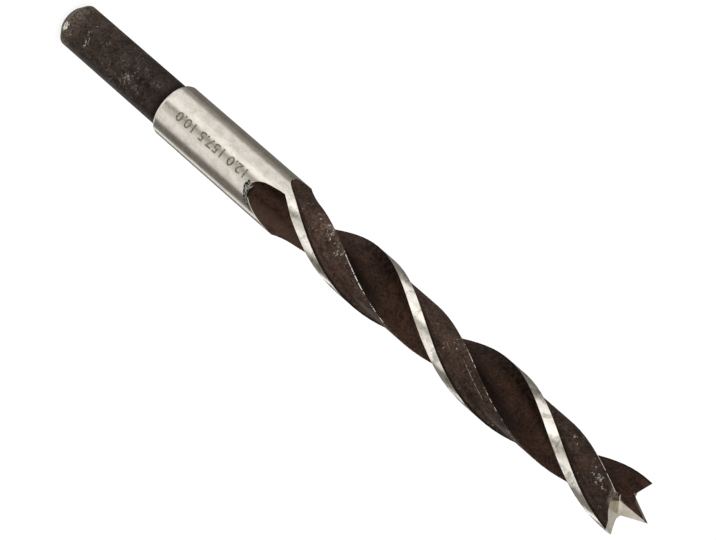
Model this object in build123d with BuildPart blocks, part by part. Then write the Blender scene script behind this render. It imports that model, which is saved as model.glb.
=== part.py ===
from build123d import *
from math import asin, atan2, cos, degrees, hypot, pi, radians, sin, sqrt, tan
import os

# A brad-point wood bit with two right-hand flutes, made of one piece of steel.
# Millimetres. The axis is +Z, the shank's end face is at the origin and the lips lie along X.

# Driving dimensions
bit_diameter = 12.0
shank_diameter = 10.0
overall_length = 157.5
body_length = 126.5
flute_length = 101.3
flute_lead = 68.2
web_thickness = 3.77
margin_width = 2.0
land_relief = 1.13
land_angle = 88.0
spur_drop = 3.87
brad_angle = 49.2
brad_side_angle = 24.5
lip_rise_angle = 19.0
lip_relief_angle = 11.5
valley_radius = 0.8
gash_depth = 1.45
run_out_length = 8.0
cutter_radius = 22.0
corner_length = 6.7
corner_bulge = 0.45
relief_setback = 6.1
relief_slant = 3.1
relief_cutter_radius = 6.9
relief_corner = 1.35
shank_chamfer = 1.4
rim_bevel_length = 0.5
rim_bevel_depth = 0.22

# Derived sizes
bit_radius = bit_diameter / 2
shank_radius = shank_diameter / 2
land_radius = bit_radius - land_relief
web_radius = web_thickness / 2
outside = 1.25 * bit_radius
shank_length = overall_length - body_length
lip_height = overall_length - spur_drop
lift_height = overall_length - flute_length + run_out_length
full_flute_height = lift_height + corner_length
helix_angle = atan2(pi * bit_diameter, flute_lead)
margin_angle = degrees(margin_width / cos(helix_angle) / bit_radius)
step_angle = 8.0
flute_angle = 180 - land_angle
relief_front = overall_length - flute_length + relief_setback
relief_rise = sqrt(relief_cutter_radius**2 - (relief_cutter_radius - land_relief) ** 2)


# The section turns with the height; at the lips' height it lies along X
def section_plane(height, side=0):
    turn = 360 * (height - lip_height) / flute_lead
    return Plane.XY.offset(height).rotated((0, 0, turn + side))


def about_axis(plane, side):
    origin = plane.origin.rotate(Axis.Z, side)
    x_dir = plane.x_dir.rotate(Axis.Z, side)
    return Plane(origin, x_dir=x_dir, z_dir=plane.z_dir.rotate(Axis.Z, side))


def polar(radius, angle):
    return Vector(radius * cos(radians(angle)), radius * sin(radians(angle)))


# Outline of one flute: straight lip face, round root on the web, hollow wall up to the heel.
# Near the run-out the lip face is set back by the bulge, then all of it is lifted away.
def draw_flute(lift=0, bulge=0):
    away = Vector(0, lift)
    lip_outer = Vector(outside, -bulge) + away
    lip_inner = Vector(0.66 * bit_radius, -bulge) + away
    root = polar(web_radius + 0.02, 45) + away
    heel = polar(land_radius, flute_angle) + away
    with BuildLine(Plane.XY) as outline:
        Line(lip_outer, lip_inner)
        round_root = TangentArc(lip_inner, root, tangent=(-1, 0))
        hollow = TangentArc(root, heel, tangent=round_root % 1)
        wall_end = heel + (hollow % 1) * (outside - land_radius)
        Polyline(heel, wall_end, Vector(outside, outside + lift), lip_outer)
    make_face(outline.edges())


# How far the floor of the relief has risen at a height: its cutter leaves along an arc,
# later on the heel's side, so that the front of the relief is slanted
def relief_sink(height, angle):
    slant = relief_slant * max(0, angle / land_angle - 0.5) * 2
    past = max(0, relief_front + relief_rise + slant - height)
    rise = relief_cutter_radius - sqrt(relief_cutter_radius**2 - min(past, 0.9 * relief_cutter_radius) ** 2)
    return rise


# Outline of the relief behind one margin at a height; its front corner is rounded
def draw_relief(height):
    ahead = max(0, relief_front + relief_corner - height) / relief_corner
    narrowing = 20 * (1 - sqrt(1 - min(1, ahead) ** 2))
    start_angle = margin_angle + step_angle + narrowing
    middle_angle = (start_angle + land_angle) / 2
    stop_angle = land_angle + 4
    wall_top = polar(bit_radius, step_angle - start_angle)
    wall_foot = polar(land_radius, -start_angle)
    wall = (wall_top - wall_foot).normalized()
    start = wall_foot + wall * relief_sink(height, start_angle)
    middle = polar(land_radius + relief_sink(height, middle_angle), -middle_angle)
    stop = polar(land_radius + relief_sink(height, stop_angle), -stop_angle)
    far_start = start + wall * 2 * outside
    far_stop = polar(2 * outside, -stop_angle)
    with BuildLine(Plane.XY) as outline:
        ThreePointArc(start, middle, stop)
        Polyline(stop, far_stop, far_start, start)
    make_face(outline.edges())


# Whole section of the fluted length: margins, relieved lands and two flutes
with BuildSketch() as removed:
    draw_flute()
    draw_relief(full_flute_height)
with BuildSketch(section_plane(full_flute_height)) as section:
    Circle(bit_radius)
    for side in (0, 180):
        add(removed.sketch, rotation=side, mode=Mode.SUBTRACT)

with BuildPart() as drill_bit:
    # Shank with its chamfered end
    with BuildSketch(Plane.XY):
        Circle(shank_radius)
    extrude(amount=shank_length)
    chamfer(drill_bit.edges().sort_by(Axis.Z)[0], length=shank_chamfer)

    # Collar and the plain start of the body, up to where the flutes have their full depth
    with BuildSketch(Plane.XY.offset(shank_length)):
        Circle(bit_radius)
    extrude(amount=full_flute_height - shank_length)
    shoulder = drill_bit.faces().filter_by(Axis.Z).sort_by(Axis.Z)[1]
    rim = shoulder.outer_wire().edges()
    chamfer(rim, length=rim_bevel_depth, length2=rim_bevel_length, reference=shoulder)

    # Run-outs: first the corner of the lip face is widened, then the round cutter leaves
    # the flute along an arc, while the section keeps turning
    lift_end = bit_radius + 0.2
    chord = hypot(run_out_length, lift_end)
    entry_angle = atan2(lift_end, run_out_length) - asin(chord / 2 / cutter_radius)
    entry_reach = cutter_radius * sin(entry_angle)
    entry_height = cutter_radius * cos(entry_angle)
    for side in (0, 180):
        for share in (0, 0.25, 0.5, 0.75, 1):
            with BuildSketch(section_plane(full_flute_height - share * corner_length, side)):
                draw_flute(bulge=corner_bulge * sin(radians(90 * share**2)))
        loft(mode=Mode.SUBTRACT)
        for share in (0, 0.125, 0.25, 0.4, 0.55, 0.7, 0.85, 1):
            reach = share * run_out_length
            lift = entry_height - sqrt(cutter_radius**2 - (entry_reach + reach) ** 2)
            with BuildSketch(section_plane(lift_height - reach, side)):
                draw_flute(lift, corner_bulge * max(0, 1 - 3 * share))
        loft(mode=Mode.SUBTRACT)

    # The land relief starts a little before the full flute
    for side in (0, 180):
        for share in (0, 0.2, 0.4, 0.6, 0.8, 0.9, 1):
            height = full_flute_height + share * (relief_front - full_flute_height)
            with BuildSketch(section_plane(height, side)):
                draw_relief(height)
        loft(mode=Mode.SUBTRACT)

    # Fluted length: the whole section, twisted from there to above the point
    stock_length = overall_length + 0.5 - full_flute_height
    twisted = Solid.extrude_linear_with_rotation(
        section.sketch.face(),
        Vector(0, 0, full_flute_height),
        Vector(0, 0, stock_length),
        360 * stock_length / flute_lead,
    )
    add(twisted)

    # Point: the groove ground behind each lip leaves a spur outside and the brad inside.
    # Its floor and its wall are planes, its run is the line where they meet.
    half_brad = radians(brad_angle / 2)
    half_side = radians(brad_side_angle / 2)
    lip_rise = tan(radians(lip_rise_angle))
    lip_relief = tan(radians(lip_relief_angle))
    reach = 3 * bit_radius
    apex = Vector(0, 0, overall_length)
    valley_drop = (spur_drop + bit_radius * lip_rise) / (1 + tan(half_brad) * lip_rise)
    valley = Vector(valley_drop * tan(half_brad), 0, overall_length - valley_drop)
    floor_normal = Vector(1, 0, lip_rise).cross(Vector(0, 1, lip_relief)).normalized()
    wall_normal = Vector(0, tan(half_side), 1).cross(Vector(-tan(half_brad), 0, 1)).normalized()
    groove_run = wall_normal.cross(floor_normal).normalized()
    groove = Plane(valley, x_dir=floor_normal.cross(groove_run), z_dir=groove_run)
    wall_rise = groove_run.cross(wall_normal)
    wall_top = Vector(wall_rise.dot(groove.x_dir), wall_rise.dot(groove.y_dir)) * reach
    for side in (0, 180):
        with BuildSketch(about_axis(groove, side)):
            with BuildLine():
                Polyline((0, 0), (reach, 0), (reach, reach), wall_top, close=True)
            corner = make_face()
            fillet(corner.vertices().sort_by_distance((0, 0))[0], radius=valley_radius)
        extrude(amount=reach, both=True, mode=Mode.SUBTRACT)

    # Gash in the web before each lip, which brings the four faces of the brad to a point
    brad_edge = Vector(-sin(half_brad), 0, -cos(half_brad))
    gash = Plane(apex, x_dir=(0, -1, 0), z_dir=brad_edge)
    gash_floor = -gash_depth * sin(half_brad) / tan(half_side)
    for side in (0, 180):
        with BuildSketch(about_axis(gash, side)):
            with BuildLine():
                far_wall = Vector(gash_depth, gash_floor) + polar(reach, 55)
                Polyline((0, 0), (gash_depth, gash_floor), far_wall, (0, reach), close=True)
            make_face()
        extrude(amount=reach, both=True, mode=Mode.SUBTRACT)

drill_bit.part.label = "drill_bit"

os.makedirs("parts", exist_ok=True)
export_step(drill_bit.part, "parts/drill_bit.step")
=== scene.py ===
"""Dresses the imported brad-point drill bit and lights it before a plain white background.

The bit's own solid stays as it is and gets one material that tells the ground steel of the
collar, the margins and the point from the dark tempered rest. The camera, the studio and the
meshes are in metres. The sizes that the finish follows are in millimetres and degrees. The bit
stands on the shank's end, its axis is +Z and its lips lie along X.
"""

import logging
import math
from collections.abc import Iterable
from dataclasses import dataclass, field
from enum import Enum

import bmesh
import bpy
from mathutils import Matrix, Quaternion, Vector


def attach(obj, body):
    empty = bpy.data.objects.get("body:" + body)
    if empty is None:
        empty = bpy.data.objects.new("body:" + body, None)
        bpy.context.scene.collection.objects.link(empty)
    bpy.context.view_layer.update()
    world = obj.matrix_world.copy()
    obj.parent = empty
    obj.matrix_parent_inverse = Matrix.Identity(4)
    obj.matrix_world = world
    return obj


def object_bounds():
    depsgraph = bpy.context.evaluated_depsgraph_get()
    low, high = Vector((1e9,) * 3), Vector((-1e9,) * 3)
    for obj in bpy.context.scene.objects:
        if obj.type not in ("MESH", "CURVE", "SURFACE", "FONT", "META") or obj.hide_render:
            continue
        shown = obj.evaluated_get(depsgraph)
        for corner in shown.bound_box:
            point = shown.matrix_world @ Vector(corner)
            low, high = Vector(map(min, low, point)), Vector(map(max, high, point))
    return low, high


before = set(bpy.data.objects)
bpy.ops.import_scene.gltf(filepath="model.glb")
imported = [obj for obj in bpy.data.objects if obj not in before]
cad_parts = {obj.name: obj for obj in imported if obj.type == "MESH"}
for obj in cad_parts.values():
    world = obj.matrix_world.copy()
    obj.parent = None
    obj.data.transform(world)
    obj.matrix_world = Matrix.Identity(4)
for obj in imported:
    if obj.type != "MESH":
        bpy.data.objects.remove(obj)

LOG = logging.getLogger("drill_bit")
CAD_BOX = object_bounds()
MM = 0.001
MM_PER_M = 1000.0
HALF_TURN = 180.0
FULL_TURN = 360.0

Colour = tuple[float, float, float]
Span = tuple[float, float]
Levels = tuple[Span, ...]
Socket = bpy.types.NodeSocket


@dataclass(frozen=True)
class BitSizes:
    """The bit's sizes that its finish follows, in millimetres and degrees."""

    bit_radius: float
    overall_length: float
    shank_radius: float = 5.0
    land_radius: float = 4.87
    shank_length: float = 31.0
    shank_chamfer: float = 1.4
    rim_bevel_length: float = 0.5
    rim_bevel_depth: float = 0.22
    spur_drop: float = 3.87
    flute_lead: float = 68.2
    flute_front: float = 56.2
    relief_front: float = 62.3
    relief_slant: float = 3.1
    full_flute: float = 70.9
    flute_angle: float = 92.0
    step_foot_angle: float = 150.2
    margin_angle: float = 158.2
    brad_half_angle: float = 24.6
    floor_drop: float = 5.936
    floor_rise: float = 0.344
    floor_fall: float = 0.2035

    @property
    def lip_height(self) -> float:
        """Height at which the lips meet the margins and lie along X."""
        return self.overall_length - self.spur_drop

    @property
    def half_land(self) -> float:
        """Half the angle of one land with its margin."""
        return (HALF_TURN - self.flute_angle) / 2

    @classmethod
    def from_box(cls, box: tuple[Vector, Vector]) -> "BitSizes":
        """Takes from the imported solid's box, in metres, the two sizes that it shows."""
        low, high = box
        return cls((high[0] - low[0]) / 2 * MM_PER_M, high[2] * MM_PER_M)


BIT = BitSizes.from_box(CAD_BOX)


class Treatment(Enum):
    """How a stretch of the steel was left: its roughness and how metallic it is."""

    GROUND = (0.20, 1.0)
    TEMPERED = (0.48, 0.55)

    def __init__(self, roughness: float, metallic: float) -> None:
        """Names the two levels."""
        self.roughness = roughness
        self.metallic = metallic


@dataclass(frozen=True)
class SteelFinish:
    """The two colours that one finish of the steel lies between, the lighter one first."""

    colour: Colour
    dark_colour: Colour


COLLAR_STEEL = SteelFinish((0.74, 0.70, 0.63), (0.63, 0.585, 0.515))
MARGIN_STEEL = SteelFinish((0.95, 0.90, 0.82), (0.82, 0.77, 0.69))
POINT_STEEL = SteelFinish((0.66, 0.60, 0.52), (0.37, 0.33, 0.25))
SHANK_SKIN = SteelFinish((0.066, 0.046, 0.036), (0.011, 0.0075, 0.0055))
LAND_SKIN = SteelFinish((0.098, 0.061, 0.043), (0.021, 0.013, 0.009))
FLUTE_SKIN = SteelFinish((0.061, 0.030, 0.018), (0.0030, 0.0014, 0.0008))
ETCHED_STEEL = SteelFinish((0.33, 0.28, 0.22), (0.13, 0.095, 0.065))
SHADE_AND_SCALE_BLACK: Colour = (0.007, 0.0045, 0.003)
RED_TEMPER: Colour = (0.085, 0.038, 0.026)
OLIVE_WEAR: Colour = (0.18, 0.145, 0.105)
SCUFF_COLOUR: Colour = (0.22, 0.18, 0.15)
CHIPPED_STEEL: Colour = (0.80, 0.74, 0.66)
SMUDGED_STEEL: Colour = (0.34, 0.33, 0.27)
BARE_SPECK: Colour = (0.38, 0.345, 0.31)
WHITE: Colour = (1.0, 1.0, 1.0)
FLOOR_GREY: Colour = (0.9, 0.9, 0.9)


@dataclass(frozen=True)
class Grain:
    """A kind of smooth noise: its features for each unit, its finer layers, how far it is stirred.

    Contrast is the pair of its levels between which it rises from 0 to 1.
    """

    scale: float = 1.0
    detail: float = 2.0
    roughness: float = 0.6
    distortion: float = 0.0
    contrast: Span | None = None
    stretch: Colour | None = None


WHEEL_MARKS = Grain(detail=3.0, stretch=(0.7, 0.7, 6.0))
SMUDGES = Grain(1.0, 4.0, 0.62, 0.6, contrast=(0.38, 0.64), stretch=(0.8, 0.8, 0.4))
FINE_SPECKS = Grain(2.2, 2.0, 0.6, 0.4)
SPECK_CLUSTERS = Grain(0.5, roughness=0.5)
SCRATCHES = Grain(stretch=(0.34, 0.30, 1.0))
SCRATCH_SLICE = 3.0
CHIPS = Grain(2.6, contrast=(0.40, 0.60))
RAGGED_EDGE = Grain(2.2)
WORN_STRETCHES = Grain(1.6)
FACET_STREAKS = Grain(detail=3.0, roughness=0.7, stretch=(2.6, 1.2, 1.2))
CLOUDS = Grain(0.34, 4.0, 0.6, 0.5, contrast=(0.38, 0.62))
MOTTLE = Grain(1.7, 4.0, 0.8, contrast=(0.38, 0.62))
SMOOTH_MOTTLE = Grain(2.0, 4.0, 0.75, contrast=(0.28, 0.72))
RED_CLOUDS = Grain(0.55, 3.0, 0.6, 0.8, contrast=(0.56, 0.72))
SCUFF_CURVES = Grain(0.75, roughness=0.5, distortion=0.5)
SCUFF_CLUSTERS = Grain(0.33, roughness=0.5, contrast=(0.47, 0.58))
SCRATCH_GAPS = Grain(1.9, contrast=(0.42, 0.50))
NICK_STREAKS = Grain(roughness=0.7, stretch=(1.6, 1.6, 4.2))
SCALE_TEXTURE = Grain(3.2, 4.0, 0.62, 0.3)
STEEL_BLOTCHES = Grain(0.42, 4.0, 0.65, 0.4, contrast=(0.50, 0.66))
POINT_PATCHES = Grain(0.9, 3.0)
ETCH_CLOUDS = Grain(2.2, contrast=(0.34, 0.66))


class Graph:
    """Adds nodes to one tree and joins their sockets."""

    def __init__(self, tree: bpy.types.NodeTree) -> None:
        """Empties the tree of a material, a group or the world."""
        self.tree = tree
        tree.nodes.clear()

    def node(self, kind: str, **settings: object) -> bpy.types.Node:
        """Adds a node by its type's name, whole or without ShaderNode, and sets its properties."""
        known = kind if kind.startswith("Node") else "ShaderNode" + kind
        made = self.tree.nodes.new(known)
        for name, value in settings.items():
            setattr(made, name, value)
        return made

    def feed(self, target: Socket, value: object) -> None:
        """Links an input to a socket, or sets it to a number, a vector or a colour."""
        if isinstance(value, bpy.types.NodeSocket):
            self.tree.links.new(value, target)
        elif target.type == "RGBA":
            target.default_value = (*value, 1.0)
        else:
            target.default_value = value

    def feed_all(self, targets: Iterable[Socket], values: Iterable[object]) -> None:
        """Feeds sockets in turn, as far as there are values."""
        for target, value in zip(targets, values):
            self.feed(target, value)

    def fed(self, kind: str, inputs: dict[str, object], **settings: object) -> Socket:
        """Adds one node with its inputs fed by name, and gives its first output."""
        made = self.node(kind, **settings)
        for name, value in inputs.items():
            self.feed(made.inputs[name], value)
        return made.outputs[0]

    def surface(self, shader: Socket, kind: str = "OutputMaterial") -> None:
        """Puts the tree's shader on show."""
        self.feed(self.node(kind).inputs["Surface"], shader)

    def math(self, operation: str, *values: object) -> Socket:
        """One Math node of one to three numbers."""
        made = self.node("Math", operation=operation)
        self.feed_all(made.inputs, values)
        return made.outputs[0]

    def _chain(self, operation: str, values: tuple[object, ...]) -> Socket:
        """One Math operation over all the values in turn."""
        result = values[0]
        for value in values[1:]:
            result = self.math(operation, result, value)
        return result

    def times(self, *values: object) -> Socket:
        """The product of numbers."""
        return self._chain("MULTIPLY", values)

    def plus(self, *values: object) -> Socket:
        """The sum of numbers."""
        return self._chain("ADD", values)

    def minus(self, *values: object) -> Socket:
        """The first number less all the others."""
        return self._chain("SUBTRACT", values)

    def line(self, value: object, slope: object, base: object) -> Socket:
        """A value times a slope, plus a base."""
        return self.math("MULTIPLY_ADD", value, slope, base)

    def all_of(self, *masks: object) -> Socket:
        """The product of masks, 1 only where all of them are."""
        return self._chain("MULTIPLY", masks)

    def any_of(self, *masks: object) -> Socket:
        """The largest of masks, 1 where any of them is."""
        return self._chain("MAXIMUM", masks)

    def outside(self, mask: Socket) -> Socket:
        """1 where the mask is 0, and 0 where it is 1."""
        return self.minus(1.0, mask)

    def vector(self, operation: str, *values: object) -> bpy.types.Node:
        """One Vector Math node, whose result is its output 0 or, for a number, its output 1."""
        made = self.node("VectorMath", operation=operation)
        self.feed_all(made.inputs, values)
        return made

    def split(self, place: Socket) -> tuple[Socket, Socket, Socket]:
        """The place's three coordinates."""
        parts = self.node("SeparateXYZ")
        self.feed(parts.inputs[0], place)
        return tuple(parts.outputs)

    def ease(self, value: object, start: float, stop: float) -> Socket:
        """A smooth step in a value from 0 at start to 1 at stop, which may be the lower one."""
        rising = stop > start
        made = self.node("MapRange", interpolation_type="SMOOTHSTEP")
        ends = (start, stop) if rising else (stop, start)
        levels = (0.0, 1.0) if rising else (1.0, 0.0)
        self.feed_all(made.inputs, (value, *ends, *levels))
        return made.outputs[0]

    def past(self, value: object, base: float, span: Span) -> Socket:
        """A smooth step from 0 to 1 between two distances past a base."""
        start, stop = span
        return self.ease(value, base + start, base + stop)

    def band(self, value: object, middle: float, half: float, soft: float) -> Socket:
        """A mask that is 1 within half of middle and falls to 0 over soft."""
        away = self.math("ABSOLUTE", self.minus(value, middle))
        return self.ease(away, half + soft, half)

    def window(self, value: object, low: float, high: float, soft: float) -> Socket:
        """A mask that is 1 from low to high and falls to 0 over soft on both sides."""
        return self.band(value, (low + high) / 2, (high - low) / 2, soft)

    def blend(self, share: object, first: object, second: object) -> Socket:
        """A colour between two colours: share 0 is the first, and 1 the second."""
        made = self.node("Mix", data_type="RGBA", clamp_factor=True)
        self.feed_all((made.inputs[0], *made.inputs[6:8]), (share, first, second))
        return made.outputs[2]

    def level(self, share: object, first: object, second: object) -> Socket:
        """A number between two numbers, as blend does for colours."""
        made = self.node("Mix", data_type="FLOAT", clamp_factor=True)
        self.feed_all((made.inputs[0], *made.inputs[2:4]), (share, first, second))
        return made.outputs[0]

    def profile(self, value: object, points: Levels) -> Socket:
        """A level, 2 at most, that follows a number smoothly through rising pairs of both."""
        first, last = points[0][0], points[-1][0]
        ramp = self.node("ValToRGB")
        ramp.color_ramp.interpolation = "EASE"
        elements = ramp.color_ramp.elements
        while len(elements) < len(points):
            elements.new(0.5)
        for element, (place, level) in zip(elements, points):
            element.position = (place - first) / (last - first)
            element.color = (*(level / 2,) * 3, 1.0)
        self.feed(ramp.inputs[0], self.math("DIVIDE", self.minus(value, first), last - first))
        return self.times(ramp.outputs[0], 2.0)

    def noise(self, place: Socket, grain: Grain) -> Socket:
        """Smooth noise of a kind, from 0 to 1."""
        if grain.stretch:
            place = self.vector("MULTIPLY", place, grain.stretch).outputs[0]
        made = self.fed("TexNoise", {"Vector": place, "Scale": grain.scale, "Detail": grain.detail,
                                     "Roughness": grain.roughness, "Distortion": grain.distortion})
        return self.ease(made, *grain.contrast) if grain.contrast else made


@dataclass
class EffectGroup:
    """A shader node group with named inputs and outputs, built once."""

    name: str
    inputs: tuple[str, ...]
    outputs: tuple[str, ...]
    graph: Graph = field(init=False)
    given: tuple[Socket, ...] = field(init=False)

    VECTORS = ("Place", "Millimetres")

    def __post_init__(self) -> None:
        """Makes the group's tree, its sockets and its input node."""
        tree = bpy.data.node_groups.new(self.name, "ShaderNodeTree")
        for direction, names in (("INPUT", self.inputs), ("OUTPUT", self.outputs)):
            for name in names:
                kind = "NodeSocketVector" if name in self.VECTORS else "NodeSocketFloat"
                tree.interface.new_socket(name, in_out=direction, socket_type=kind)
        self.graph = Graph(tree)
        self.given = tuple(self.graph.node("NodeGroupInput").outputs)[:len(self.inputs)]

    def give(self, *values: Socket) -> "EffectGroup":
        """Feeds the group's outputs in their order, and gives the finished group."""
        self.graph.feed_all(self.graph.node("NodeGroupOutput").inputs, values)
        return self

    def place_in(self, graph: Graph, *values: object) -> tuple[Socket, ...]:
        """Places the group in a material, feeds its inputs in order and gives its outputs."""
        made = graph.node("Group", node_tree=self.graph.tree)
        graph.feed_all(made.inputs, values)
        return tuple(made.outputs)


@dataclass
class GroupSet:
    """The effects that the materials share."""

    cluster_share: float = 0.45
    dot_limits: Span = (0.99, 0.79)
    dot_fade: float = 0.07
    scratch_limits: Span = (0.74, 0.62)
    scratch_fade: float = 0.05
    scratch_level: float = 0.45

    def __post_init__(self) -> None:
        """Builds each group once."""
        self.section = self._section()
        self.grinding = self._grinding()
        self.specks = self._specks()

    def _section(self) -> EffectGroup:
        """A place on the bit told in the flutes' own section.

        Returns:
            The group. Its angle runs from 0 at a lip's face over the flute to the heel and on
            over the land to 180 at the next lip's face, both halves of the bit alike. Along Face
            and Off Face are the same place in millimetres along the lip's face and away from it.
            Over Floor is the height over the groove that is ground behind each lip. Along Lip and
            Behind Lip are the distances along that half's lip and behind it.
        """
        told = ("Height", "Radius", "Angle", "Azimuth", "Along Face", "Off Face", "Over Floor", "Along Lip",
                "Behind Lip", "Millimetres")
        made = EffectGroup("bit section", ("Place",), told)
        g = made.graph
        mm = g.vector("MULTIPLY", *made.given, (MM_PER_M,) * 3).outputs[0]
        x, y, height = g.split(mm)
        across = g.vector("MULTIPLY", mm, (1.0, 1.0, 0.0)).outputs[0]
        radius = g.vector("LENGTH", across).outputs[1]
        turn = g.times(g.minus(height, BIT.lip_height), FULL_TURN / BIT.flute_lead)
        azimuth = g.math("DEGREES", g.math("ARCTAN2", y, x))
        angle = g.math("FLOORED_MODULO", g.minus(azimuth, turn), HALF_TURN)
        radians = g.math("RADIANS", angle)
        along_face, off_face = (g.times(radius, g.math(wave, radians)) for wave in ("COSINE", "SINE"))
        along_lip = g.times(x, g.times(g.math("SIGN", y), -1.0))
        behind_lip = g.math("ABSOLUTE", y)
        base = g.line(behind_lip, -BIT.floor_fall, BIT.overall_length - BIT.floor_drop)
        over_floor = g.minus(height, g.line(along_lip, BIT.floor_rise, base))
        return made.give(height, radius, angle, azimuth, along_face, off_face, over_floor, along_lip,
                         behind_lip, mm)

    def _grinding(self) -> EffectGroup:
        """Fine marks that a grinding wheel leaves round the bit, and faint smudges."""
        made = EffectGroup("ground marks", ("Millimetres",), ("Marks", "Smudges"))
        return made.give(*(made.graph.noise(*made.given, grain) for grain in (WHEEL_MARKS, SMUDGES)))

    def _specks(self) -> EffectGroup:
        """Small bare specks, and short scratches along the flutes: their Amount is from 0 to 1."""
        made = EffectGroup("bare specks", ("Millimetres", "Height", "Angle", "Amount"), ("Mask",))
        g = made.graph
        mm, height, angle, amount = made.given
        few, many = self.dot_limits
        raised = g.line(g.noise(mm, SPECK_CLUSTERS), self.cluster_share, g.noise(mm, FINE_SPECKS))
        dots = g.ease(g.minus(raised, g.line(amount, many - few, few)), 0.0, self.dot_fade)
        unrolled = g.node("CombineXYZ")
        g.feed_all(unrolled.inputs, (angle, height, SCRATCH_SLICE))
        few, many = self.scratch_limits
        lines = g.noise(unrolled.outputs[0], SCRATCHES)
        scratches = g.ease(g.minus(lines, g.line(amount, many - few, few)), 0.0, self.scratch_fade)
        return made.give(g.any_of(dots, g.all_of(scratches, self.scratch_level)))


class BitGraph(Graph):
    """A material's tree that knows where on the bit the shaded place lies."""

    def __init__(self, material: bpy.types.Material, section: EffectGroup) -> None:
        """Places the group that tells a place in the flutes' own section."""
        super().__init__(material.node_tree)
        place = self.node("TexCoord").outputs["Object"]
        (self.height, self.radius, self.angle, self.azimuth, self.along_face, self.off_face, self.over_floor,
         self.along_lip, self.behind_lip, self.mm) = section.place_in(self, place)


@dataclass
class GroundAreas:
    """Where the bit is ground bright: the collar, the margins, the heel lines and the point; the heel lines
    are partly a painted highlight.

    A pair holds the two ends of a stretch, or where a mask begins to rise and where it is 1. Both
    may count from one of the bit's own sizes.
    """

    surface_edge: Span = (-0.10, -0.07)
    margin_rim_edge: Span = (0.13, 0.07)
    margin_rim_start: Span = (-6.0, 0.0)
    chip_strip: Span = (0.50, 1.25)
    chip_level: float = 0.55
    burr_strip: Span = (0.1, 1.7)
    burr_angles: Span = (60.0, 96.0)
    burr_end: Span = (0.0, -1.0)
    bevel_edge: Span = (-0.06, -0.03)
    front_middle_angle: float = 70.0
    front_bow: float = 0.0027
    relief_edge: Span = (0.0, 0.1)
    corner_start_angle: float = 142.0
    corner_setback: float = 0.9
    floor_edge: Span = (-0.06, -0.04)
    own_side_edge: Span = (-0.02, 0.02)
    far_lobe_edge: Span = (1.4, 1.8)
    facet_end_angle: float = 96.0
    facet_ragged: float = 26.0
    facet_fade: float = 3.0
    axis_edge: Span = (2.6, 2.2)
    tip_drops: Span = (0.4, 1.1)
    tip_level: float = 0.25
    hook_bow: float = 0.2
    hook_setback: float = -0.17
    hook_inner_radius: float = 3.3
    hook_floor_edge: Span = (-0.12, -0.06)
    hook_strip: Span = (-0.18, 0.08)
    strip_width: Span = (0.42, 0.30)
    strip_foot: Span = (4.6, 4.0)
    strip_tip: Span = (0.5, 1.1)
    strip_level: float = 0.16
    heel_line_width: Span = (0.11, 0.06)
    heel_line_shift: float = 0.02
    heel_line_depths: Span = (-0.10, 0.06)
    heel_line_start: Span = (2.0, 4.0)
    heel_levels: Span = (0.04, 0.99)
    heel_widening: Levels = ((78.0, 0.0), (82.0, 0.12), (87.0, 0.12), (91.0, 0.0))
    heel_gaps: Levels = ((84.0, 0.43), (91.0, 0.43), (94.0, 0.50), (140.0, 0.50), (144.0, 0.36))
    # stretches where the worn heel line also carries a painted highlight
    bright_heels: Levels = ((81.5, 89.0), (92.0, 95.0), (110.5, 115.5), (120.0, 125.0), (139.5, 153.0))

    def mask(self, g: BitGraph) -> Socket:
        """1 where the steel is ground, 0 where its dark skin is left."""
        parts = (self._cylinder, self._rim, self._heel_line, self._point, self._hook, self._brad_edge)
        return g.any_of(*[part(g) for part in parts])

    def _cylinder(self, g: BitGraph) -> Socket:
        """Collar and margins, without the front of each relief, and chips by each flute's front."""
        burr = self.burr(g)
        left_out = (self._margin_rims(g), self._relief(g), burr)
        surface = g.past(g.radius, BIT.bit_radius, self.surface_edge)
        plain = g.all_of(surface, *[g.outside(mask) for mask in left_out])
        inner_strip = g.window(self._past_front(g), *self.chip_strip, 0.25)
        return g.any_of(plain, g.all_of(burr, g.noise(g.mm, CHIPS), inner_strip, self.chip_level))

    def _margin_rims(self, g: BitGraph) -> Socket:
        """1 on thin rims at both edges of a margin, which keep the dark skin."""
        behind = g.window(g.angle, BIT.step_foot_angle, BIT.margin_angle + 0.6, 0.5)
        return g.all_of(g.any_of(behind, g.ease(g.off_face, *self.margin_rim_edge)),
                        g.past(g.height, BIT.full_flute, self.margin_rim_start))

    def _relief(self, g: BitGraph) -> Socket:
        """1 over each relief from its slanted front on, up to the foot of the margin's step."""
        behind = g.any_of(g.minus(HALF_TURN - BIT.half_land, g.angle), 0.0)
        slant = g.times(behind, BIT.relief_slant / BIT.half_land)
        corner = g.times(g.ease(g.angle, self.corner_start_angle, BIT.step_foot_angle), self.corner_setback)
        return g.all_of(g.past(g.minus(g.height, slant, corner), BIT.relief_front, self.relief_edge),
                        g.window(g.angle, BIT.flute_angle - 1.0, BIT.step_foot_angle, 1.0))

    def _past_front(self, g: BitGraph) -> Socket:
        """How far the place is past the curved front edge of its flute, in millimetres."""
        off_middle = g.minus(g.angle, self.front_middle_angle)
        bow = g.times(off_middle, off_middle, self.front_bow)
        return g.minus(g.height, g.plus(bow, BIT.flute_front))

    def burr(self, g: BitGraph) -> Socket:
        """A ragged strip along the heel's side of each flute's front."""
        edge = g.plus(self._past_front(g), g.minus(g.noise(g.mm, RAGGED_EDGE), 0.5))
        return g.all_of(g.window(edge, *self.burr_strip, 0.12), g.window(g.angle, *self.burr_angles, 4.0),
                        g.past(g.height, BIT.relief_front, self.burr_end))

    def _rim(self, g: BitGraph) -> Socket:
        """The collar's bevelled rim."""
        half = BIT.rim_bevel_length / 2
        return g.all_of(g.past(g.radius, BIT.bit_radius - BIT.rim_bevel_depth, self.bevel_edge),
                        g.band(g.height, BIT.shank_length + half, half, 0.02))

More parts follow.
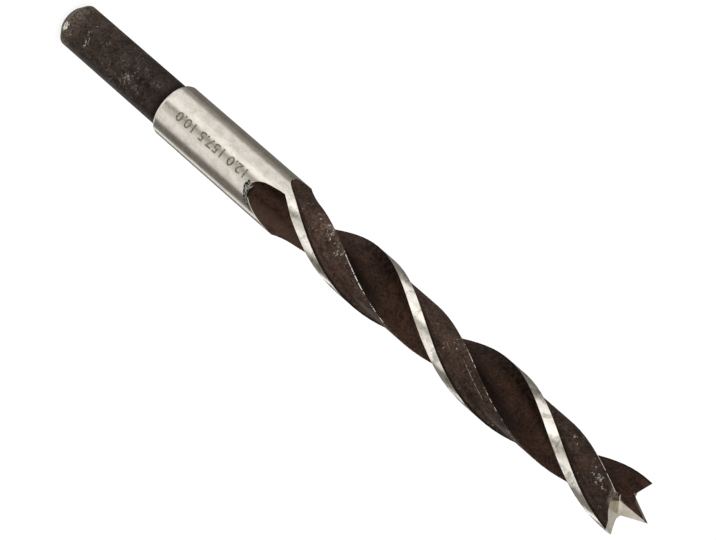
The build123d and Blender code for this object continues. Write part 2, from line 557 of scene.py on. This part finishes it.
    def _heel_line(self, g: BitGraph) -> Socket:
        """A thin worn line along each heel, broken, and bright on a few stretches only: partly wear and
        partly a painted highlight of the edge.
        """
        arc = g.times(g.minus(g.angle, BIT.flute_angle), math.radians(BIT.land_radius))
        off_heel = g.math("ABSOLUTE", g.plus(arc, self.heel_line_shift))
        along = g.ease(g.minus(off_heel, g.profile(g.height, self.heel_widening)), *self.heel_line_width)
        edge = g.window(g.radius, *[BIT.land_radius + depth for depth in self.heel_line_depths], 0.04)
        worn = g.minus(g.noise(g.mm, WORN_STRETCHES), g.profile(g.height, self.heel_gaps))
        stretches = g.any_of(*[g.window(g.height, *span, 1.0) for span in self.bright_heels])
        return g.all_of(along, edge, g.past(g.height, BIT.full_flute, self.heel_line_start),
                        g.level(g.all_of(g.ease(worn, 0.0, 0.05), stretches), *self.heel_levels))

    def _point(self, g: BitGraph) -> Socket:
        """The facet ground behind each lip and the brad's wall that it runs up."""
        own_lobe = g.any_of(g.ease(g.along_lip, *self.own_side_edge),
                            g.ease(g.behind_lip, *self.far_lobe_edge))
        behind_angle = g.math("DEGREES", g.math("ARCTAN2", g.behind_lip, g.along_lip))
        ragged = g.line(g.noise(g.mm, FACET_STREAKS), self.facet_ragged,
                        self.facet_end_angle - self.facet_ragged / 2)
        ends = g.ease(g.minus(ragged, behind_angle), 0.0, self.facet_fade)
        tip = g.ease(g.minus(BIT.overall_length, g.height), *self.tip_drops)
        return g.all_of(g.ease(g.over_floor, *self.floor_edge), own_lobe, g.level(tip, self.tip_level, 1.0),
                        g.any_of(ends, g.ease(g.radius, *self.axis_edge)))

    def _hook(self, g: BitGraph) -> Socket:
        """The bright edge where the groove's floor meets the hollow wall of the flute behind it."""
        inward = g.minus(BIT.land_radius, g.radius)
        wall = g.line(g.times(inward, inward), self.hook_bow, self.hook_setback)
        return g.all_of(g.ease(g.over_floor, *self.hook_floor_edge),
                        g.window(g.minus(g.along_face, wall), *self.hook_strip, 0.06),
                        g.window(g.radius, self.hook_inner_radius, BIT.land_radius + 0.1, 0.1))

    def _brad_edge(self, g: BitGraph) -> Socket:
        """A half-bright strip along the brad's other edge, where its far wall shows through."""
        drop = g.minus(BIT.overall_length, g.height)
        half_width = g.times(drop, math.tan(math.radians(BIT.brad_half_angle)))
        return g.all_of(g.ease(g.plus(half_width, g.along_lip), *self.strip_width),
                        g.ease(g.along_lip, 0.0, -0.05), g.ease(drop, *self.strip_foot),
                        g.ease(drop, *self.strip_tip), self.strip_level)


@dataclass(frozen=True)
class ScuffPatch:
    """A specked patch, by its height in mm, its turn in degrees, its reach in mm and its amount."""

    height: float
    turn: float
    reach: float
    amount: float


def patches(*rows: tuple[float, float, float, float]) -> tuple[ScuffPatch, ...]:
    """Makes one patch of each row."""
    return tuple(ScuffPatch(*row) for row in rows)


@dataclass
class TemperedSkin:
    """The dark skin of the shank, the lands and the flutes, with pairs as in GroundAreas."""

    groups: GroupSet
    areas: GroundAreas
    shank_patches: tuple[ScuffPatch, ...] = patches(
        (20.8, -82.5, 2.0, 1.0), (6.6, -103.0, 2.0, 0.75), (8.4, -76.0, 2.2, 0.85), (11.8, -108.0, 1.8, 0.8),
        (25.5, -108.0, 2.6, 0.45),
    )
    land_patches: tuple[ScuffPatch, ...] = patches(
        (71.5, 112.0, 2.4, 0.8), (75.5, 106.0, 3.0, 1.0), (74.5, 118.0, 2.2, 0.85), (79.6, 104.0, 3.0, 1.1),
        (82.5, 107.0, 1.8, 0.8), (78.5, 140.0, 1.4, 0.7), (86.5, 110.0, 1.8, 0.8), (109.5, 110.0, 1.8, 0.7),
        (128.0, 96.0, 1.6, 0.7), (138.5, 124.0, 1.8, 0.8), (139.5, 101.0, 1.5, 0.7), (144.2, 107.0, 2.0, 0.8),
        (147.0, 113.0, 1.9, 0.9), (149.0, 119.0, 1.8, 0.6),
    )
    nick: ScuffPatch = ScuffPatch(1.9, -79.0, 1.2, 1.1)
    nick_stretch: float = 1.4
    nick_edge: Span = (2.75, 3.05)
    patch_core: float = 0.3
    few_specks: Span = (0.24, 0.18)
    land_speck_start: Span = (4.0, 6.0)
    shank_speck_end: Span = (-1.5, -2.5)
    mottle_share: float = 0.68
    smooth_share: float = 0.75
    flute_start: Span = (-1.5, -1.4)
    heel_edge: Span = (0.6, -0.4)
    face_angles: Span = (166.0, 168.0)
    front_heights: Span = (60.0, 73.9)
    front_angles: Span = (90.0, 94.0)
    front_fade: float = 24.0
    front_share: float = 0.50
    red_share: float = 0.22
    hot_start: Span = (-3.4, -0.6)
    hot_radii: Span = (3.9, 5.0)
    hot_width: Span = (0.35, 0.2)
    hot_share: float = 0.8
    wear_share: float = 0.9
    belt_top: float = 5.5
    crumbly_angles: Span = (93.0, 118.0)
    crumbly_floor_edge: Span = (-1.2, -0.2)
    crumbly_levels: Span = (0.45, 0.95)
    neck_start: Span = (-2.4, -0.5)
    neck_end: Span = (0.3, 0.2)
    neck_edge: Span = (-0.30, -0.32)
    face_edge_width: Span = (1.6, 1.2)
    face_edge_start: Span = (-0.55, -0.2)
    face_edge_black: float = 0.85
    step_start: Span = (0.0, 0.5)
    brow_start: Span = (-0.60, -0.25)
    step_black: float = 0.2
    hollow_start: Span = (-2.0, 6.0)
    hollow_angles: Span = (40.0, 55.0)
    hollow_depths: Span = (-2.1, -0.9)
    hollow_black: float = 0.30
    deep_heel_angles: Span = (70.0, 86.0)
    deep_heel_black: float = 0.80
    chamfer_end: Span = (-0.1, -0.3)
    chamfer_black: float = 0.55
    deepest_black: float = 0.92
    dark_heels: Levels = ((82.0, 91.0), (112.0, 127.0))
    hair_width: Span = (0.022, 0.005)
    hair_end: Span = (-2.0, -4.0)
    hair_level: float = 0.55
    scratch_heights: Span = (113.5, 120.0)
    scratch_angle: float = 111.0
    # tones by height, which partly paint the light and shade on each stretch of the shank, the lands and the
    # flutes
    shank_tones: Levels = ((3.0, 1.3), (10.0, 1.18), (17.0, 0.95), (29.0, 0.76))
    land_tones: Levels = (
        (61.0, 0.95), (70.0, 1.02), (75.0, 1.35), (80.0, 0.95), (86.0, 1.0), (92.0, 1.3), (100.0, 1.08),
        (108.0, 0.97), (116.0, 0.78), (124.0, 0.95), (132.0, 0.84), (140.0, 0.72), (147.0, 0.66),
    )
    flute_tones: Levels = (
        (60.0, 1.0), (70.0, 1.35), (80.0, 1.3), (87.0, 0.9), (93.0, 1.2), (99.0, 1.75), (105.0, 1.7),
        (112.0, 0.9), (120.0, 1.0), (128.0, 1.05), (136.0, 1.3), (146.0, 1.05),
    )

    def colour(self, g: BitGraph) -> Socket:
        """The skin's colour: three finishes, and what lies on them from the lowest layer up."""
        clouds, mottle, smooth = (g.noise(g.mm, grain) for grain in (CLOUDS, MOTTLE, SMOOTH_MOTTLE))
        mixed = g.level(self.mottle_share, clouds, mottle)
        fluted = g.past(g.height, BIT.flute_front, self.flute_start)
        before_heel = g.past(g.angle, BIT.flute_angle, self.heel_edge)
        in_flute = g.all_of(fluted, g.any_of(before_heel, g.ease(g.angle, *self.face_angles)))
        on_land = self._toned(g, LAND_SKIN, mixed, self.land_tones)
        in_hollow = self._toned(g, FLUTE_SKIN, g.level(self.smooth_share, clouds, smooth), self.flute_tones)
        on_shank = self._toned(g, SHANK_SKIN, mixed, self.shank_tones)
        skin = g.blend(fluted, on_shank, g.blend(in_flute, on_land, in_hollow))
        front = g.all_of(in_flute, g.window(g.height, *self.front_heights, 3.0),
                         g.window(g.angle, *self.front_angles, self.front_fade), self.front_share)
        reddish = g.all_of(g.noise(g.mm, RED_CLOUDS), self.red_share)
        layers = (
            (front, LAND_SKIN.colour),
            (g.any_of(reddish, self._hot_spur(g)), RED_TEMPER),
            (self._worn(g, mottle), OLIVE_WEAR),
            # painted shade in the corners and hollows, with the burr's real scale, all in one black
            (self._black(g, in_flute), SHADE_AND_SCALE_BLACK),
            (self._scuffs(g), SCUFF_COLOUR),
            (self._bare(g, in_flute), BARE_SPECK),
            (self._nick(g), CHIPPED_STEEL),
        )
        for share, colour in layers:
            skin = g.blend(share, skin, colour)
        return skin

    def _toned(self, g: BitGraph, finish: SteelFinish, share: Socket, tones: Levels) -> Socket:
        """One finish's colour, between its two colours, with the tone of its stretch of the bit; these tones
        by height are partly painted light and shade.
        """
        mixed = g.blend(share, finish.dark_colour, finish.colour)
        unused = (0.0, 0.0, 0.0)
        return g.vector("SCALE", mixed, unused, unused, g.profile(g.height, tones)).outputs[0]

    def _hot_spur(self, g: BitGraph) -> Socket:
        """Red temper colour on the lip's face close to the spur's tip."""
        return g.all_of(g.past(g.height, BIT.lip_height, self.hot_start), g.ease(g.radius, *self.hot_radii),
                        g.ease(g.off_face, *self.hot_width), self.hot_share)

    def _worn(self, g: BitGraph, mottle: Socket) -> Socket:
        """Olive wear by the shank's end, on its chamfer's edge and beside the ground facet."""
        end = BIT.shank_chamfer
        ring = g.all_of(g.band(g.height, end + 0.1, 0.12, 0.12), self.wear_share)
        belt = g.all_of(g.ease(g.height, self.belt_top, end + 0.2), g.ease(g.height, end - 0.3, end),
                        self.wear_share, mottle)
        crumbly = g.all_of(g.ease(g.over_floor, *self.crumbly_floor_edge),
                           g.window(g.angle, *self.crumbly_angles, 5.0),
                           g.level(mottle, *self.crumbly_levels))
        return g.any_of(ring, crumbly, belt)

    def _black(self, g: BitGraph, in_flute: Socket) -> Socket:
        """Painted shade, black in the corners and hollows: by the collar, at both sides of a margin, in the
        flute's hollow, by the heel and on the shank's chamfer; with it the real black scale of each flute's
        burr.
        """
        neck = g.all_of(g.past(g.height, BIT.shank_length, self.neck_start),
                        g.past(g.radius, BIT.bit_radius, self.neck_edge),
                        g.past(g.height, BIT.shank_length, self.neck_end))
        face_edge = g.all_of(in_flute, g.ease(g.off_face, *self.face_edge_width),
                             g.past(g.radius, BIT.bit_radius, self.face_edge_start), self.face_edge_black)
        step = g.all_of(g.past(g.height, BIT.relief_front, self.step_start),
                        g.window(g.angle, BIT.step_foot_angle - 2.0, BIT.margin_angle + 2.0, 2.0),
                        g.any_of(g.past(g.radius, BIT.bit_radius, self.brow_start), self.step_black))
        inner, outer = (BIT.land_radius + depth for depth in self.hollow_depths)
        hollow = g.all_of(in_flute, g.past(g.height, BIT.full_flute, self.hollow_start),
                          g.ease(g.angle, *self.hollow_angles), g.window(g.radius, inner, outer, 0.8),
                          self.hollow_black)
        stretches = g.any_of(*[g.window(g.height, *span, 4.0) for span in self.dark_heels])
        by_heel = g.ease(g.angle, *self.deep_heel_angles)
        deep_heel = g.all_of(in_flute, stretches, by_heel, self.deep_heel_black)
        chamfer = g.all_of(g.past(g.height, BIT.shank_chamfer, self.chamfer_end), self.chamfer_black)
        # every part here but the burr is painted shade
        corners = g.any_of(neck, face_edge, step, hollow, deep_heel, self.areas.burr(g), chamfer)
        return g.all_of(corners, self.deepest_black)

    def _bare(self, g: BitGraph, in_flute: Socket) -> Socket:
        """Bare specks: few, and more in the patches of the lands and the shank."""
        few_on_land, few_on_shank = self.few_specks
        on_land = g.all_of(g.past(g.height, BIT.relief_front, self.land_speck_start), g.outside(in_flute))
        on_shank = g.past(g.height, BIT.shank_length, self.shank_speck_end)
        lands = [self._patch(g, patch, g.angle, BIT.land_radius) for patch in self.land_patches]
        shanks = [self._patch(g, patch, g.azimuth, BIT.shank_radius) for patch in self.shank_patches]
        amount = g.any_of(g.all_of(on_land, g.any_of(few_on_land, *lands)),
                          g.all_of(on_shank, g.any_of(few_on_shank, *shanks)))
        specks, = self.groups.specks.place_in(g, g.mm, g.height, g.angle, amount)
        return g.all_of(specks, g.ease(amount, 0.02, 0.1))

    def _scuffs(self, g: BitGraph) -> Socket:
        """Dull curved scuffs in clusters on the shank, and one long scratch beside a heel."""
        ridge = g.math("ABSOLUTE", g.minus(g.noise(g.mm, SCUFF_CURVES), 0.5))
        hairs = g.all_of(g.ease(ridge, *self.hair_width), g.noise(g.mm, SCUFF_CLUSTERS),
                         g.past(g.height, BIT.shank_length, self.hair_end), self.hair_level)
        scratch = g.all_of(g.window(g.height, *self.scratch_heights, 0.8),
                           g.band(g.angle, self.scratch_angle, 0.7, 0.9), g.noise(g.mm, SCRATCH_GAPS))
        return g.any_of(hairs, scratch)

    def _patch(self, g: BitGraph, patch: ScuffPatch, turn: Socket, radius: float,
               stretch: float = 1.0) -> Socket:
        """The amount of specks in a patch, round or drawn out round the bit, that fades to its edge.

        Its turn counts as the section's angle on a land, and as the azimuth on the shank.
        """
        across = g.times(g.minus(turn, patch.turn), math.radians(radius) / stretch)
        along = g.times(g.minus(g.height, patch.height), stretch)
        far = g.math("SQRT", g.line(across, across, g.times(along, along)))
        return g.all_of(g.ease(far, patch.reach, patch.reach * self.patch_core), patch.amount)

    def _nick(self, g: BitGraph) -> Socket:
        """The bright nick at the shank's end."""
        patch = self._patch(g, self.nick, g.azimuth, BIT.shank_radius, self.nick_stretch)
        streaky = g.line(g.noise(g.mm, NICK_STREAKS), 4.0, patch)
        return g.all_of(g.ease(streaky, *self.nick_edge), g.ease(patch, 0.05, 0.2))


def new_material(name: str) -> bpy.types.Material:
    """Makes a material with nodes."""
    material = bpy.data.materials.new(name)
    material.use_nodes = True
    return material


def new_object(name: str, data: bpy.types.ID) -> bpy.types.Object:
    """Makes an object of the data and links it to the scene."""
    made = bpy.data.objects.new(name, data)
    bpy.context.scene.collection.objects.link(made)
    return made


def new_mesh(name: str, bm: bmesh.types.BMesh, material: bpy.types.Material) -> bpy.types.Mesh:
    """Makes a mesh in one material of a finished bmesh, which it frees."""
    mesh = bpy.data.meshes.new(name)
    bm.to_mesh(mesh)
    bm.free()
    mesh.materials.append(material)
    return mesh


@dataclass
class BitMaterial:
    """The bit's one material: ground and tempered steel told apart by place."""

    groups: GroupSet
    roughness_spread: Span = (-0.04, 0.08)
    specular: float = 0.15
    bump_strength: float = 0.35
    bump_depth: float = 0.02
    mark_depth: float = 0.10
    blotch_shares: Span = (0.22, 0.75)
    margin_start: Span = (0.0, 10.0)
    point_start: Span = (-4.0, -3.0)
    point_edge: Span = (-0.10, -0.14)
    point_patchiness: Span = (-0.35, 0.95)
    inner_radii: Span = (2.2, 0.9)
    outer_radii: Span = (4.7, 5.6)
    inward_share: float = 0.45

    def build(self) -> bpy.types.Material:
        """Makes the finished material."""
        material = new_material("ground and tempered steel")
        g = BitGraph(material, self.groups.section)
        areas = GroundAreas()
        ground, tempered = Treatment.GROUND, Treatment.TEMPERED
        bright = areas.mask(g)
        skin_colour = TemperedSkin(self.groups, areas).colour(g)
        marks, smudges = self.groups.grinding.place_in(g, g.mm)
        ground_roughness = g.level(marks, *[ground.roughness + shift for shift in self.roughness_spread])
        texture = g.level(bright, g.noise(g.mm, SCALE_TEXTURE), g.times(marks, self.mark_depth))
        bump = g.fed("Bump", {"Strength": self.bump_strength, "Distance": self.bump_depth * MM,
                              "Height": texture})
        g.surface(g.fed("BsdfPrincipled", {
            "Base Color": g.blend(bright, skin_colour, self._steel_colour(g, smudges)),
            "Roughness": g.level(bright, tempered.roughness, ground_roughness),
            "Metallic": g.level(bright, tempered.metallic, ground.metallic),
            "Specular IOR Level": self.specular,
            "Normal": bump,
        }))
        return material

    def _steel_colour(self, g: BitGraph, smudges: Socket) -> Socket:
        """Ground steel with faint clouds, more smudged on the margins than on the collar."""
        on_margins = g.past(g.height, BIT.relief_front, self.margin_start)
        first = g.blend(on_margins, COLLAR_STEEL.colour, MARGIN_STEEL.colour)
        second = g.blend(on_margins, COLLAR_STEEL.dark_colour, MARGIN_STEEL.dark_colour)
        clean = g.blend(smudges, first, second)
        blotches = g.all_of(g.noise(g.mm, STEEL_BLOTCHES), g.level(on_margins, *self.blotch_shares))
        worn = g.blend(blotches, clean, SMUDGED_STEEL)
        on_point = g.all_of(g.past(g.height, BIT.lip_height, self.point_start),
                            g.past(g.radius, BIT.bit_radius, self.point_edge))
        patchy = g.level(g.noise(g.mm, POINT_PATCHES), *self.point_patchiness)
        inward = g.minus(g.ease(g.radius, *self.inner_radii), g.ease(g.radius, *self.outer_radii))
        point = g.blend(g.plus(patchy, g.times(inward, self.inward_share)), POINT_STEEL.dark_colour,
                        POINT_STEEL.colour)
        return g.blend(on_point, worn, point)


@dataclass
class SizeMark:
    """Plain numbers etched on the collar: cutting diameter, overall length, shank diameter."""

    groups: GroupSet
    text: str = "12.0 157.5 10.0"
    azimuth: float = -97.0
    low_end: float = 35.6
    high_end: float = 55.4
    letter_height: float = 2.1
    depth: float = 0.05
    strips: int = 16
    boldness: float = 0.014
    curve_steps: int = 3
    weld_distance: float = 1e-5
    metallic: float = 0.6
    roughness: Span = (0.45, 0.6)

    def build(self) -> bpy.types.Object:
        """Sets the numbers, wraps them on the collar, dresses them and gives the mark."""
        curve = bpy.data.curves.new("size mark text", "FONT")
        curve.body = self.text
        curve.align_x = curve.align_y = "CENTER"
        curve.extrude = self.depth / 2
        curve.resolution_u = self.curve_steps
        curve.offset = self.boldness
        flat = new_object("size mark text", curve)
        bpy.context.view_layer.update()
        mesh = bpy.data.meshes.new_from_object(flat.evaluated_get(bpy.context.evaluated_depsgraph_get()))
        bpy.data.objects.remove(flat)
        self._wrap(mesh)
        mark = new_object("size_mark", mesh)
        mesh.materials.clear()
        mesh.materials.append(self._material())
        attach(mark, "root")
        return mark

    def _wrap(self, mesh: bpy.types.Mesh) -> None:
        """Scales the flat text's mesh and bends it round the collar, cut in strips to follow it."""
        bm = bmesh.new()
        bm.from_mesh(mesh)
        bmesh.ops.remove_doubles(bm, verts=bm.verts, dist=self.weld_distance)
        (left, right), (low, high) = ((min(side), max(side)) for side in
                                      ([v.co[axis] for v in bm.verts] for axis in (0, 1)))
        for share in range(1, self.strips):
            level = low + (high - low) * share / self.strips
            everything = [*bm.verts, *bm.edges, *bm.faces]
            bmesh.ops.bisect_plane(bm, geom=everything, plane_co=(0.0, level, 0.0), plane_no=(0.0, 1.0, 0.0))
        bmesh.ops.triangulate(bm, faces=bm.faces)
        along_scale = (self.high_end - self.low_end) / (right - left)
        across_scale = self.letter_height / (high - low)
        middle = (self.low_end + self.high_end) / 2
        for vert in bm.verts:
            radius = BIT.bit_radius + vert.co.z - self.depth / 2
            angle = math.radians(self.azimuth) + vert.co.y * across_scale / BIT.bit_radius
            height = middle - vert.co.x * along_scale
            vert.co = Vector((radius * math.cos(angle), radius * math.sin(angle), height)) * MM
        bmesh.ops.recalc_face_normals(bm, faces=bm.faces)
        bm.to_mesh(mesh)
        bm.free()

    def _material(self) -> bpy.types.Material:
        """Etched steel, dull and brown-grey, with faint clouds."""
        material = new_material("etched steel")
        g = BitGraph(material, self.groups.section)
        marks, _ = self.groups.grinding.place_in(g, g.mm)
        clouds = g.noise(g.mm, ETCH_CLOUDS)
        g.surface(g.fed("BsdfPrincipled", {
            "Base Color": g.blend(clouds, ETCHED_STEEL.dark_colour, ETCHED_STEEL.colour),
            "Metallic": self.metallic,
            "Roughness": g.level(marks, *self.roughness),
        }))
        return material


@dataclass(frozen=True)
class Screen:
    """One upright cloth round the bit, by its angles from the camera's side and its brightness."""

    start: float
    stop: float
    level: float


@dataclass
class Studio:
    """The floor, the white background, the screens that the steel mirrors, and the camera."""

    camera_azimuth: float = -99.44
    camera_elevation: float = 21.208
    camera_roll: float = 131.182
    camera_distance: float = 0.3841
    camera_range: Span = (0.01, 50.0)
    aim_height: float = 0.08368
    focal_pixels: float = 2000.0
    photo_width: int = 716
    sensor_width: float = 36.0
    floor_radius: float = 8.0
    floor_segments: int = 96
    shadow_share: float = 0.25
    floor_level: float = 1.15
    screen_radius: float = 3.0
    screen_segments: tuple[int, int] = (144, 48)
    screen_top: float = 0.70
    screen_foot: float = -0.90
    top_fade: float = 0.30
    foot_fade: float = 0.18
    screen_edge: float = 9.0
    warmth: Span = (0.07, 0.16)
    screens: tuple[Screen, ...] = tuple(Screen(*row) for row in (
        (-180.0, -108.0, 0.19), (-108.0, -84.0, 0.34), (-36.0, -9.0, 1.30), (-9.0, 10.0, 0.40),
        (10.0, 28.0, 0.76), (66.0, 79.0, 0.85), (79.0, 127.0, 0.19), (127.0, 142.0, 1.30),
        (142.0, 180.0, 0.19),
    ))

    def build(self) -> None:
        """Makes the camera, the floor, the screens and the world."""
        self._camera()
        self._floor()
        self._screens()
        self._world()
        bpy.context.scene.view_settings.view_transform = "Standard"

    def _camera(self) -> None:
        """Sets the camera where the photograph was taken from, rolled as it was."""
        azimuth = math.radians(self.camera_azimuth)
        elevation = math.radians(self.camera_elevation)
        back = Vector((math.cos(azimuth) * math.cos(elevation), math.sin(azimuth) * math.cos(elevation),
                       math.sin(elevation)))
        upright = back.to_track_quat("Z", "Y")
        roll = Quaternion((0.0, 0.0, 1.0), math.radians(self.camera_roll))
        data = bpy.data.cameras.new("camera")
        data.sensor_fit = "HORIZONTAL"
        data.sensor_width = self.sensor_width
        data.lens = self.focal_pixels / self.photo_width * self.sensor_width
        data.clip_start, data.clip_end = self.camera_range
        camera = new_object("camera", data)
        place = Vector((0.0, 0.0, self.aim_height)) + back * self.camera_distance
        camera.matrix_world = Matrix.Translation(place) @ (upright @ roll).to_matrix().to_4x4()
        bpy.context.scene.camera = camera

    def _floor(self) -> None:
        """A plain white floor under the shank's end, which keeps a soft shadow."""
        material = new_material("white floor")
        g = Graph(material.node_tree)
        matt = g.fed("BsdfDiffuse", {"Color": FLOOR_GREY})
        plain = g.fed("Emission", {"Color": WHITE, "Strength": self.floor_level})
        seen = g.times(g.node("LightPath").outputs["Is Camera Ray"], 1.0 - self.shadow_share)
        mixed = g.node("MixShader")
        g.feed_all(mixed.inputs, (seen, matt, plain))
        g.surface(mixed.outputs[0])
        bm = bmesh.new()
        bmesh.ops.create_circle(bm, cap_ends=True, segments=self.floor_segments, radius=self.floor_radius)
        floor = new_object("floor", new_mesh("floor", bm, material))
        floor.visible_glossy = False
        floor.visible_shadow = False

    def _world(self) -> None:
        """A plain white background, which the steel mirrors between the screens."""
        world = bpy.data.worlds.new("white background")
        world.use_nodes = True
        bpy.context.scene.world = world
        g = Graph(world.node_tree)
        g.surface(g.fed("Background", {"Color": WHITE}), "OutputWorld")

    def _screens(self) -> None:
        """Grey and white cloths that stand well away from the bit, out of the camera's sight."""
        bm = bmesh.new()
        around, upward = self.screen_segments
        bmesh.ops.create_uvsphere(bm, u_segments=around, v_segments=upward, radius=self.screen_radius)
        bare = [face for face in bm.faces if not self._is_screened(face.calc_center_median())]
        bmesh.ops.delete(bm, geom=bare, context="FACES")
        screens = new_object("screens", new_mesh("screens", bm, self._cloth()))
        screens.visible_camera = False

    def _is_screened(self, place: Vector) -> bool:
        """Whether a screen stands in front of the background at a place."""
        turn = math.degrees(math.atan2(place.y, place.x)) - self.camera_azimuth
        turn = (turn + HALF_TURN) % FULL_TURN - HALF_TURN
        slack = self.screen_edge / 2
        beside = any(screen.start - slack <= turn <= screen.stop + slack for screen in self.screens)
        return beside and self.screen_foot < place.z / self.screen_radius < self.screen_top

    def _cloth(self) -> bpy.types.Material:
        """The screens' even glow, which fades into the white background at their edges."""
        material = new_material("screen cloth")
        g = Graph(material.node_tree)
        x, y, z = g.split(g.node("TexCoord").outputs["Object"])
        from_behind = g.minus(g.math("ARCTAN2", y, x), math.radians(self.camera_azimuth - HALF_TURN))
        ramp = g.node("ValToRGB")
        self._fill_ramp(ramp.color_ramp)
        g.feed(ramp.inputs[0], g.math("FRACT", g.math("DIVIDE", from_behind, math.tau)))
        rise = g.math("DIVIDE", z, self.screen_radius)
        top = g.ease(rise, self.screen_top - self.top_fade, self.screen_top)
        above = g.blend(top, ramp.outputs[0], WHITE)
        cloth = g.blend(g.ease(rise, self.screen_foot + self.foot_fade, self.screen_foot), above, WHITE)
        g.surface(g.fed("Emission", {"Color": cloth}))
        return material

    def _fill_ramp(self, ramp: bpy.types.ColorRamp) -> None:
        """Sets the screens' levels round the bit, white between them, the camera's side in its middle."""
        half_edge = self.screen_edge / 2
        stops: list[tuple[float, float]] = []
        reach, level = -HALF_TURN, self.screens[0].level
        for screen in self.screens:
            if screen.start > reach:
                stops += [(reach - half_edge, level), (reach + half_edge, 1.0)]
                reach, level = screen.start, 1.0
            stops += [(reach - half_edge, level), (reach + half_edge, screen.level)]
            reach, level = screen.stop, screen.level
        while len(ramp.elements) > 1:
            ramp.elements.remove(ramp.elements[-1])
        ramp.elements[0].position = 0.0
        ramp.elements[0].color = self._tint(self.screens[0].level)
        for turn, shown in stops:
            if abs(turn) < HALF_TURN:
                ramp.elements.new((turn + HALF_TURN) / FULL_TURN).color = self._tint(shown)

    def _tint(self, level: float) -> tuple[float, float, float, float]:
        """A screen's colour: the darker the cloth, the warmer."""
        dimness = max(0.0, 1.0 - level)
        green, blue = (level * (1.0 - loss * dimness) for loss in self.warmth)
        return level, green, blue, 1.0


class DrillBit:
    """The bit: its solid in its finish and the mark on its collar."""

    def build(self) -> list[bpy.types.Object]:
        """Dresses the solid, adds the mark and gives both pieces."""
        groups = GroupSet()
        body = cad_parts["drill_bit"]
        steel = BitMaterial(groups).build()
        for slot in body.material_slots:
            slot.material = steel
        mark = SizeMark(groups).build()
        return [body, mark]


def main() -> None:
    """Builds the studio and the bit."""
    logging.basicConfig(level=logging.INFO, format="%(name)s: %(message)s")
    Studio().build()
    for piece in DrillBit().build():
        LOG.info("%s: %d faces", piece.name, len(piece.data.polygons))


if __name__ == "__main__":
    main()
